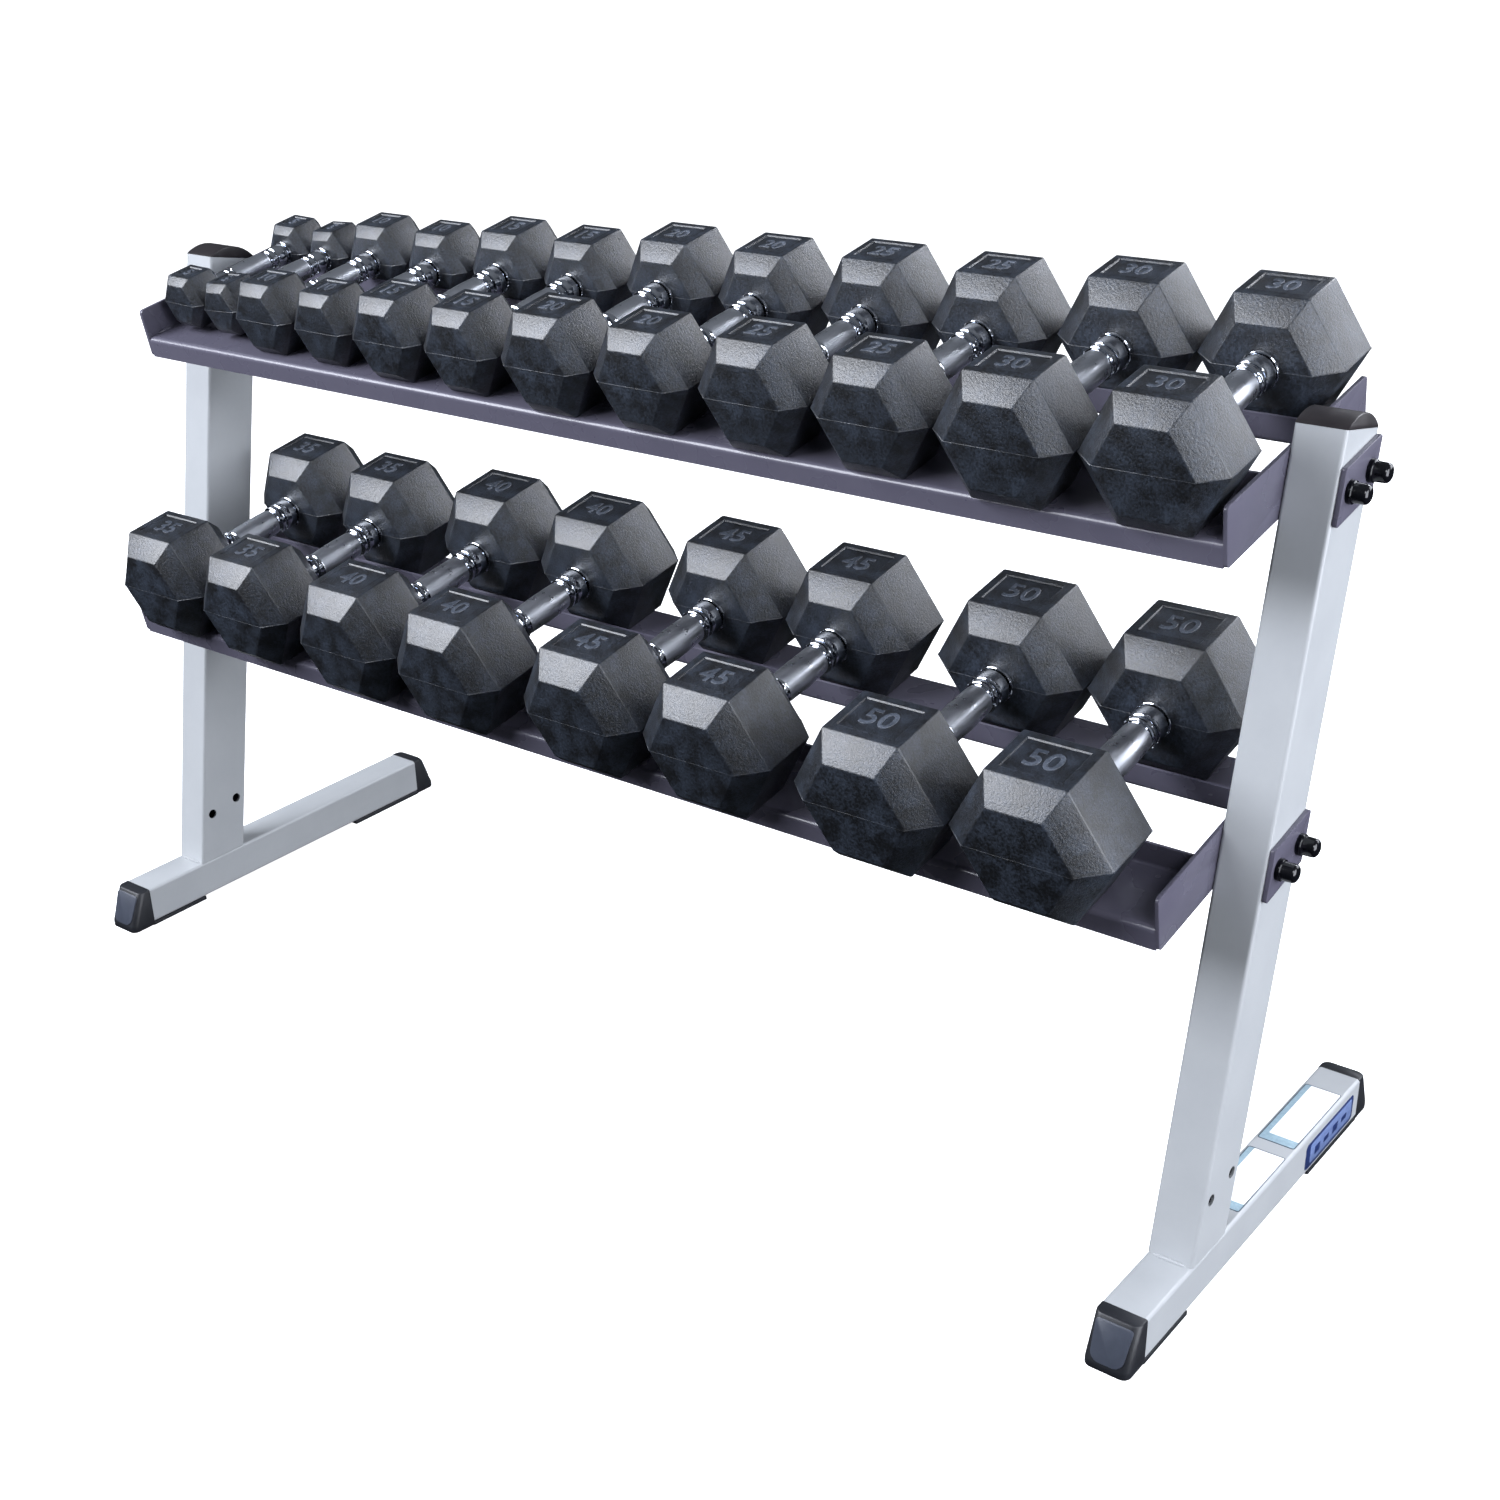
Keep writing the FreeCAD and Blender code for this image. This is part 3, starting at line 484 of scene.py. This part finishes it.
nutCover = {
    "flange": 0.0108,  # radius of the collar against the plate
    "flangeHeight": 0.002,
    "radius": 0.0093,
    "dome": 0.0045,  # height of the domed end
    "segments": 40,
}


def addTurned(bm, profile, segments, place, material=0):
    # profile of (height, radius), turned about local Z
    rings = []
    for height, radius in profile:
        ring = []
        for k in range(segments):
            a = 2 * math.pi * k / segments
            ring.append(place @ Vector((radius * math.cos(a), radius * math.sin(a), height)))
        rings.append(ring)
    addRings(bm, rings, material=material)


covers = bmesh.new()
for points in solidsOf("nut_caps"):
    low, high = boxOf(points)
    outward = 1 if low.x > 0 else -1
    height = high.x - low.x
    base = Vector((low.x if outward > 0 else high.x, (low.y + high.y) / 2, (low.z + high.z) / 2))
    place = Matrix.Translation(base) @ Matrix.Rotation(math.radians(90 * outward), 4, "Y")
    c = nutCover
    profile = [(0, c["flange"] * 0.96), (0.0004, c["flange"]), (c["flangeHeight"] - 0.0004, c["flange"]),
               (c["flangeHeight"], c["flange"] - 0.0006), (c["flangeHeight"] + 0.0003, c["radius"] + 0.0002)]
    wall = height - c["dome"]
    profile += [(wall, c["radius"])]
    for k in range(1, 9):
        a = math.pi / 2 * k / 9
        profile.append((wall + c["dome"] * math.sin(a), c["radius"] * (0.32 + 0.68 * math.cos(a))))
    profile.append((height, c["radius"] * 0.3))
    addTurned(covers, profile, c["segments"], place)
piece = makePiece(meshOf(covers, "nut_covers"), "nut_covers", "rack", [coverPlastic])
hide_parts("nut_caps")
print("nut covers made")


footCap = {
    "edge": 0.0016,  # rounding of the moulded edges
    "corner": 0.009,  # plan radius of the outer corners
    "panelInset": 0.0045,
    "panelRise": 0.0012,
    "panelCorners": (0.011, 0.011, 0.004, 0.004),
}


def addFootCap(bm, points, facing):
    # facing is -1 for a front cap and 1 for a rear cap
    low, high = boxOf(points)
    middleX = (low.x + high.x) / 2
    halfWidth = (high.x - low.x) / 2
    outer = [p.y * facing for p in points]
    tip = max(outer)
    topPoints = [p.y * facing for p in points if p.z > high.z - 0.0005]
    topTip = max(topPoints)
    tubeEnd = min(topPoints)
    shoulder = max(p.z for p in points if p.y * facing > tip - 0.0005)
    inner = min(outer)
    floorTop = max(p.z for p in points if p.y * facing < inner + 0.0005)
    place = Matrix.Translation((middleX, 0, 0)) @ Matrix.Diagonal((1, facing, 1, 1))
    e = footCap["edge"]

    def ring(front, height, inset):
        w = halfWidth - inset
        corners = [(-w, tubeEnd), (w, tubeEnd), (w, front - inset), (-w, front - inset)]
        outline = roundedOutline(corners, [0.0004, 0.0004, footCap["corner"], footCap["corner"]], 6)
        return [place @ Vector((p.x, p.y, height)) for p in outline]

    slope = (tip - topTip) / (high.z - shoulder)
    addRings(bm, [
        ring(tip, low.z, e),
        ring(tip, low.z + e * 0.4, e * 0.3),
        ring(tip, low.z + e, 0),
        ring(tip, shoulder - e, 0),
        ring(tip - e * slope * 0.3, shoulder + e * 0.5, 0.0001),
        ring(topTip + e * slope, high.z - e, 0),
        ring(topTip + e * slope * 0.4, high.z - e * 0.35, e * 0.35),
        ring(topTip, high.z, e),
    ])
    # sole strip under the tube
    w = halfWidth
    strip = roundedOutline([(-w, inner), (w, inner), (w, tubeEnd + 0.002), (-w, tubeEnd + 0.002)], 0.0015, 3)
    addPlate(bm, strip, low.z, floorTop - 0.0002, 0.0006, lift=place)
    # raised panel on the sloping face, in a lighter plastic that paints a reflection on it
    up = Vector((0, topTip - tip, high.z - shoulder))
    run = up.length
    up.normalize()
    out = Vector((1, 0, 0)).cross(up)
    out = out if out.y > 0 else -out
    m = footCap["panelInset"]
    w = halfWidth - m
    outline = roundedOutline([(-w * 0.86, m * 0.3), (w * 0.86, m * 0.3), (w, run - m), (-w, run - m)],
                             footCap["panelCorners"], 6)
    base = Vector((0, tip, shoulder)) - out * 0.0015
    tilt = Matrix((
        (1, up.x, out.x, base.x),
        (0, up.y, out.y, base.y),
        (0, up.z, out.z, base.z),
        (0, 0, 0, 1),
    ))
    addPlate(bm, outline, 0, 0.0015 + footCap["panelRise"], 0.0008, material=1, lift=place @ tilt)


for name, facing in (("front_foot_caps", -1), ("rear_foot_caps", 1)):
    bm = bmesh.new()
    for points in solidsOf(name):
        addFootCap(bm, points, facing)
    piece = makePiece(meshOf(bm, name + "_moulded"), name + "_moulded", "rack",
                      [capPlastic, capPanelReflectionPlastic])
    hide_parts(name)
print("foot caps made")


labels = {
    "corner": 0.003,
    "border": 0.0012,
    "bandShare": 0.17,  # width of the grey-blue band
    "patchCorner": 0.006,
}


def addLabel(bm, points):
    low, high = boxOf(points)
    size, middle = high - low, (low + high) / 2
    upright = size.z > 0.005  # on the foot's side rather than on its top
    if upright:
        place = Matrix(((0, 0, 1, low.x), (1, 0, 0, middle.y), (0, 1, 0, middle.z), (0, 0, 0, 1)))
        across, tall = size.y / 2, size.z / 2
    else:
        place = Matrix(((1, 0, 0, middle.x), (0, 1, 0, middle.y), (0, 0, 1, low.z), (0, 0, 0, 1)))
        across, tall = size.x / 2, size.y / 2

    def sheet(x0, x1, y0, y1, layer, material, corner):
        outline = roundedOutline([(x0, y0), (x1, y0), (x1, y1), (x0, y1)], corner, 4)
        base = 0 if layer == 0 else 0.0002
        addPlate(bm, outline, base, 0.0003 + layer * 0.00006, 0.00004, material, place)

    b = labels["border"]
    if upright:
        corner = labels["patchCorner"]
        sheet(-across, across, -tall, tall, 0, 3, corner)
        sheet(-across + 0.012, across - 0.004, -tall + 0.004, tall - 0.004, 1, 4, corner * 0.7)
        for k in range(4):  # generic blocks of print
            x = -across + 0.024 + k * 0.024
            sheet(x, x + 0.014, -0.007 + 0.002 * (k % 2), 0.004 - 0.002 * (k % 2), 2, 3, 0.0015)
    else:
        band = labels["bandShare"] * across * 2
        sheet(-across, across, -tall, tall, 0, 0, labels["corner"])
        sheet(-across + b, across - b, -tall + b, tall - b, 1, 2, labels["corner"] * 0.7)
        sheet(-across + band, across - b, -tall + band * 2, tall - b, 2, 1, labels["corner"] * 0.5)


bm = bmesh.new()
for points in solidsOf("foot_labels"):
    addLabel(bm, points)
piece = makePiece(meshOf(bm, "printed_labels"), "printed_labels", "rack", labelInk)
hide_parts("foot_labels")
print("labels made")


dumbbells = {
    "pounds": {"upper": (5, 10, 15, 20, 25, 30), "lower": (35, 40, 45, 50)},  # two of each, left to right
    "edge": 0.0013,  # rounding of the rubber's edges
    "panelMargin": 0.1,  # share of the flat's shorter side
    "rimWidth": 0.0013,
    "rimRise": 0.0005,
    "panelDepth": 0.0013,
    "numberShare": 0.5,  # of the panel
    "numberRise": 0.0015,
    "seamRise": 0.00028,
    "seamHeight": 0.0009,
    "barrelStep": 0.0012,  # how far the barrel stands in from the collar's ring
    "grooveDepth": 0.0016,
    "knurlStart": 0.036,  # from the head's face
    "knurlSegments": 72,
    "knurlDepth": 0.00009,
    "gripBulge": 0.0008,
}


def readDumbbell(name):
    low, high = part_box(name + "_handle")
    up = Vector(next(j["axis"] for j in frame["joints"] if j["child"] == name)).normalized()
    back = up.cross(Vector((1, 0, 0)))
    middle = (low + high) / 2
    place = Matrix((
        (1, back.x, up.x, middle.x),
        (0, back.y, up.y, middle.y),
        (0, back.z, up.z, middle.z),
        (0, 0, 0, 1),
    ))
    head = [place.inverted() @ v.co for v in nodes[name + "_heads"].data.vertices]
    grip = [place.inverted() @ v.co for v in nodes[name + "_handle"].data.vertices]
    corner = max(math.hypot(p.x, p.z) for p in head)
    far = max(abs(p.y) for p in head)
    near = min(abs(p.y) for p in head)
    faceCorner = max(math.hypot(p.x, p.z) for p in head if abs(p.y) > far - 0.0001)
    sidePoint = min((p for p in head if math.hypot(p.x, p.z) > corner - 0.0001),
                    key=lambda p: abs(math.atan2(p.z, p.x)))
    turn = math.atan2(sidePoint.z, sidePoint.x)
    return {
        "place": place @ Matrix.Rotation(-turn, 4, "Y"),
        "corner": corner,
        "faceCorner": faceCorner,
        "near": near,
        "far": far,
        "chamfer": (corner - faceCorner) * math.cos(math.radians(30)),
        "grip": min(math.hypot(p.x, p.z) for p in grip if abs(p.y) < near - 0.001),
        "collar": max(math.hypot(p.x, p.z) for p in grip),
    }


def digitsMesh(text):
    curve = bpy.data.curves.new("number", "FONT")
    curve.body = text
    curve.align_x = "CENTER"
    curve.align_y = "CENTER"
    curve.size = 1
    curve.extrude = 0.08
    curve.bevel_depth = 0.014  # soft upper edges, as cut in a mould
    curve.bevel_resolution = 1
    curve.resolution_u = 4
    holder = bpy.data.objects.new("number", curve)
    scene.collection.objects.link(holder)
    bpy.context.view_layer.update()
    mesh = bpy.data.meshes.new_from_object(holder.evaluated_get(bpy.context.evaluated_depsgraph_get()))
    bpy.data.objects.remove(holder)
    return mesh


def addHead(d, side, number):
    bm = bmesh.new()
    near, far, c = d["near"], d["far"], d["chamfer"]
    rings = []
    face, wide = d["faceCorner"], d["corner"]
    for y, radius in ((near, face), (near + c, wide), (far - c, wide), (far, face)):
        turns = [math.radians(60 * k) for k in range(6)]
        rings.append([(radius * math.cos(a), y * side, radius * math.sin(a)) for a in turns])
    addRings(bm, rings)
    bmesh.ops.recalc_face_normals(bm, faces=bm.faces)
    bmesh.ops.bevel(bm, geom=bm.edges[:], offset=dumbbells["edge"], segments=3, profile=0.5, affect="EDGES",
                    clamp_overlap=True)
    bm.normal_update()
    top = max((f for f in bm.faces if f.normal.z > 0.999), key=lambda f: f.calc_area())
    flatX, flatY = d["corner"], far - near - 2 * c
    margin = dumbbells["panelMargin"] * min(flatX, flatY)
    rim, rise = dumbbells["rimWidth"], dumbbells["rimRise"]
    sunk = dumbbells["panelDepth"]
    for thickness, depth in ((margin, 0), (rim * 0.6, rise), (rim * 0.5, 0), (sunk, -sunk)):
        bmesh.ops.inset_individual(bm, faces=[top], thickness=thickness, depth=depth, use_even_offset=True)
    # moulding seam round the middle
    inside, out, tall = -0.0003, dumbbells["seamRise"], dumbbells["seamHeight"]
    seam = []
    for grow, z in ((inside, -tall), (out, -tall * 0.2), (out, tall * 0.2), (inside, tall)):
        face, rim = d["faceCorner"] + grow, d["corner"] + grow * 0.4 - 0.0003
        ys = (near - grow, near + c, far - c, far + grow)
        half = [(face, ys[0]), (rim, ys[1]), (rim, ys[2]), (face, ys[3])]
        outline = half + [(-x, y) for x, y in half[::-1]]
        seam.append([(x, y * side, z) for x, y in outline])
    addRings(bm, seam)
    # raised number in the panel, read from the front
    low, high = boxOf([v.co for v in number.vertices])
    width, height = high.x - low.x, high.y - low.y
    panelX, panelY = flatX - 2 * margin, flatY - 2 * margin
    scale = min(dumbbells["numberShare"] * panelX / width, dumbbells["numberShare"] * panelY / height)
    crest = d["corner"] * math.sin(math.radians(60)) - dumbbells["panelDepth"] + dumbbells["numberRise"]
    known = set(bm.verts)
    bm.from_mesh(number)
    for vert in bm.verts:
        if vert not in known:
            x = (vert.co.x - (low.x + high.x) / 2) * scale
            y = (vert.co.y - (low.y + high.y) / 2) * scale
            vert.co = Vector((x, y + (near + far) / 2 * side, crest + (vert.co.z - high.z) * scale))
    for face in bm.faces:
        if face.verts[0] not in known:
            face.material_index = 1
    return bm


def joined(parts, name):
    mesh = bpy.data.meshes.new(name)
    whole = bmesh.new()
    for bm in parts:
        bmesh.ops.recalc_face_normals(bm, faces=bm.faces)
        spare = bpy.data.meshes.new("spare")
        bm.to_mesh(spare)
        bm.free()
        whole.from_mesh(spare)
        bpy.data.meshes.remove(spare)
    whole.to_mesh(mesh)
    whole.free()
    return mesh


def handleMesh(d, name):
    # half profile from the head's face to the grip as (distance from the face, radius)
    grip, collar = d["grip"], d["collar"]
    barrel = collar - dumbbells["barrelStep"]
    groove = grip - dumbbells["grooveDepth"]
    half = [
        (-0.010, grip), (0, grip), (0.0001, collar - 0.0006), (0.0006, collar), (0.0030, collar),
        (0.0036, collar - 0.0006), (0.0038, groove), (0.0052, groove), (0.0056, barrel - 0.0008),
        (0.0064, barrel - 0.0001), (0.0100, barrel + 0.0004), (0.0150, barrel + 0.0004), (0.0200, barrel),
        (0.0222, barrel - 0.0005), (0.0230, barrel - 0.0014), (0.0234, groove), (0.0254, groove),
        (0.0258, barrel - 0.0014), (0.0266, barrel - 0.0004), (0.0290, barrel - 0.0002),
        (0.0312, barrel - 0.0005), (0.0320, barrel - 0.0014), (0.0323, groove), (0.0342, groove),
        (0.0345, grip - 0.0014), (0.0355, grip - 0.0004),
    ]
    start, knurlStart = d["near"], dumbbells["knurlStart"]
    profile = [(start - t, r, 0) for t, r in half]
    length = 2 * (start - knurlStart)
    pitch = 2 * math.pi * grip / dumbbells["knurlSegments"]
    rows = int(length / pitch)
    for k in range(rows + 1):
        t = k / rows
        swell = dumbbells["gripBulge"] * math.sin(math.pi * t) - 0.0002
        profile.append((start - knurlStart - length * t, grip + swell, 1))
    profile += [(-(start - t), r, 0) for t, r in half[::-1]]
    bm = bmesh.new()
    count = dumbbells["knurlSegments"]
    rings = []
    for row, (y, r, knurled) in enumerate(profile):
        ring = []
        for k in range(count):
            a = 2 * math.pi * k / count
            lift = dumbbells["knurlDepth"] * ((row + k) % 2) if knurled else 0
            ring.append(((r + lift) * math.cos(a), y, (r + lift) * math.sin(a)))
        rings.append(ring)
    addRings(bm, rings)
    reach = start - knurlStart + 0.0001
    for face in bm.faces:
        if len(face.verts) == 4 and all(abs(v.co.y) < reach for v in face.verts):
            face.material_index = 1
    return meshOf(bm, name)


for tier, pounds in dumbbells["pounds"].items():
    for i, weight in enumerate([p for p in pounds for _ in range(2)], 1):
        name = "%s_dumbbell_%02d" % (tier, i)
        d = readDumbbell(name)
        number = digitsMesh(str(weight))
        heads = joined([addHead(d, side, number) for side in (-1, 1)], name + "_rubber_heads")
        piece = makePiece(heads, name + "_rubber_heads", name,
                          [headRubber, numberHighlightRubber], d["place"], 40)
        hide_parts(name + "_heads")
        handle = handleMesh(d, name + "_chrome_handle")
        piece = makePiece(handle, name + "_chrome_handle", name, [chromeCollar, chromeKnurl],
                          d["place"], 24)
        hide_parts(name + "_handle")
print("dumbbells made")


studio = {
    "floor": "F4F5F7",
    "floorGlow": 1.0,
    "flatRadius": 12,
    "sweepRadius": 6,
    "wallHeight": 40,
    "sky": "AEB4BE",
    "skyStrength": 0.4,
    "lightColor": "F2F6FF",
    "softboxes": {  # direction from the rack, distance, width, height, watts
        "key": ((-0.56, -0.63, 0.54), 4.6, 3.3, 2.5, 430),
        "frontFill": ((0.74, -0.45, 0.5), 3.4, 1.1, 0.9, 34),
        "sideFill": ((0.98, -0.06, 0.12), 3.4, 2.4, 2.2, 130),
        "backEdge": ((0.60, 0.74, 0.30), 3.6, 2.0, 1.6, 50),
        "rear": ((0.28, 0.78, 0.56), 3.6, 1.1, 0.8, 48),
    },
}
middle = (cadLow + cadHigh) / 2

# flat floor that sweeps up into a pale wall all round, as (height, radius)
sweep = [(0, 0.01), (0, studio["flatRadius"])]
for k in range(1, 9):
    a = math.pi / 2 * k / 8
    out, rise = math.sin(a) * studio["sweepRadius"], (1 - math.cos(a)) * studio["sweepRadius"]
    sweep.append((rise, studio["flatRadius"] + out))
sweep.append((studio["wallHeight"], sweep[-1][1]))
bm = bmesh.new()
addTurned(bm, sweep, 96, Matrix.Identity(4))
floor = bpy.data.objects.new("studio_floor", meshOf(bm, "studio_floor"))
scene.collection.objects.link(floor)
paint = newMaterial("matteStudioPaint", {
    "Roughness": 0.9,
    "Base Color": hexColor(studio["floor"]),
    "Specular IOR Level": 0.1,
    "Emission Color": hexColor("FFFFFF"),
    "Emission Strength": studio["floorGlow"],
})[0]
floor.data.materials.append(paint)
floor.visible_glossy = False
floor.visible_diffuse = False
floor.visible_shadow = False
floor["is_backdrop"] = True

world = bpy.data.worlds.new("studio")
scene.world = world
world.use_nodes = True
tree = world.node_tree
background = tree.nodes["Background"]
where = addNode(tree, "ShaderNodeTexCoord")
split = addNode(tree, "ShaderNodeSeparateXYZ", {}, {0: where.outputs["Generated"]})
height = addNode(tree, "ShaderNodeMapRange",
                 {"From Min": -0.3, "From Max": 1.0, "To Min": 0.08, "To Max": 1.0},
                 {"Value": split.outputs["Z"]})
mix = addNode(tree, "ShaderNodeMix", {"data_type": "RGBA", 6: hexColor("000000"), 7: hexColor(studio["sky"])},
              {0: height.outputs["Result"]})
tree.links.new(mix.outputs[2], background.inputs["Color"])
background.inputs["Strength"].default_value = studio["skyStrength"]

for name, (direction, distance, width, tall, power) in studio["softboxes"].items():
    light = bpy.data.lights.new(name, "AREA")
    light.shape = "RECTANGLE"
    light.size, light.size_y = width, tall
    light.energy = power
    light.color = hexColor(studio["lightColor"])[:3]
    holder = bpy.data.objects.new(name, light)
    scene.collection.objects.link(holder)
    away = Vector(direction).normalized()
    holder.location = middle + away * distance
    holder.rotation_mode = "QUATERNION"
    holder.rotation_quaternion = away.to_track_quat("Z", "Y")

viewer = {
    "place": (1.4511, -1.72394, 1.38196),
    "azimuth": 39.34,
    "elevation": 27.12,
    "roll": -2.07,
    "lens": 49.42,
    "shift": (0.0340, 0.0651),
}
azimuth, elevation = math.radians(viewer["azimuth"]), math.radians(viewer["elevation"])
toCamera = Vector((math.sin(azimuth) * math.cos(elevation), -math.cos(azimuth) * math.cos(elevation),
                   math.sin(elevation)))
camera = bpy.data.objects.new("camera", bpy.data.cameras.new("camera"))
scene.collection.objects.link(camera)
right = Vector((0, 0, 1)).cross(toCamera).normalized()
up = toCamera.cross(right)
level = Matrix((right, up, toCamera)).transposed()
camera.rotation_mode = "QUATERNION"
camera.rotation_quaternion = (level @ Matrix.Rotation(math.radians(viewer["roll"]), 3, "Z")).to_quaternion()
camera.location = viewer["place"]
camera.data.lens = viewer["lens"]
camera.data.sensor_width = 36
camera.data.shift_x, camera.data.shift_y = viewer["shift"]
camera.data.clip_end = 200
scene.camera = camera
scene.view_settings.view_transform = "Standard"
print("studio set")

low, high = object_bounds()
